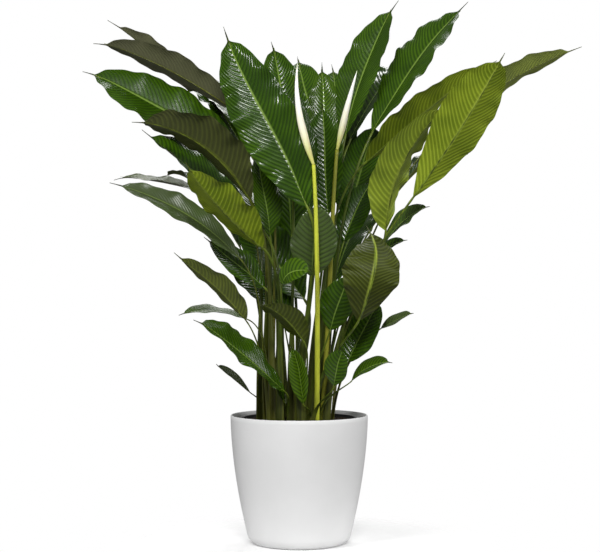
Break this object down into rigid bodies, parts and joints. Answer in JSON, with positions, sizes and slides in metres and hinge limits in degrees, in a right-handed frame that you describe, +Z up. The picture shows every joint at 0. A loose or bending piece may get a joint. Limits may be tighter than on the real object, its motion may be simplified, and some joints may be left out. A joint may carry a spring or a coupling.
{
  "type": "potted peace lily",
  "caption": "Tall peace lily with a dense clump of glossy ribbed leaves and slender furled white flowers, standing in a round tapered white pot of soil.",
  "frame": {"origin": "centre of the pot's flat underside", "axes": "+Z up along the pot's axis; the fullest side of the plant faces -Y, and +X is to the right seen from there"},
  "size_m": [0.9844, 0.6184, 1.0863],
  "materials": {
    "pot": "satin",
    "growing_pot": "matte",
    "soil": "rough",
    "leaf": "glossy",
    "flower_stem": "satin",
    "spathe": "satin"
  },
  "bodies": {
    "root": {"flower_stem_1": "flower_stem", "flower_stem_2": "flower_stem", "growing_pot": "growing_pot", "leaf_arching_1": "leaf", "leaf_arching_2": "leaf", "leaf_arching_3": "leaf", "leaf_arching_4": "leaf", "leaf_arching_5": "leaf", "leaf_arching_6": "leaf", "leaf_arching_7": "leaf", "leaf_back_left": "leaf", "leaf_back_left_tip": "leaf", "leaf_back_right_tip": "leaf", "leaf_behind_front": "leaf", "leaf_centre_bright": "leaf", "leaf_centre_dark": "leaf", "leaf_centre_left": "leaf", "leaf_centre_ribbed": "leaf", "leaf_centre_tip": "leaf", "leaf_centre_under": "leaf", "leaf_far_right": "leaf", "leaf_front_tall": "leaf", "leaf_furled": "leaf", "leaf_left_bright": "leaf", "leaf_left_broad": "leaf", "leaf_left_curled": "leaf", "leaf_left_flat": "leaf", "leaf_left_folded": "leaf", "leaf_left_inner": "leaf", "leaf_left_level": "leaf", "leaf_left_long": "leaf", "leaf_left_narrow": "leaf", "leaf_left_olive": "leaf", "leaf_left_slim": "leaf", "leaf_left_small": "leaf", "leaf_left_top": "leaf", "leaf_low_left": "leaf", "leaf_low_right": "leaf", "leaf_low_right_dark": "leaf", "leaf_low_upright": "leaf", "leaf_mid_right": "leaf", "leaf_right_bright": "leaf", "leaf_right_dark": "leaf", "leaf_right_inner": "leaf", "leaf_right_olive": "leaf", "leaf_right_pale": "leaf", "leaf_right_stub": "leaf", "leaf_round_mid": "leaf", "leaf_shade_mid": "leaf", "leaf_shade_right": "leaf", "leaf_soil_shoot": "leaf", "leaf_thin_upright": "leaf", "leaf_top": "leaf", "leaf_top_right": "leaf", "leaf_upright_left": "leaf", "leaf_upright_right": "leaf", "pot": "pot", "soil": "soil", "spathe_1": "spathe", "spathe_2": "spathe"}
  },
  "joints": []
}
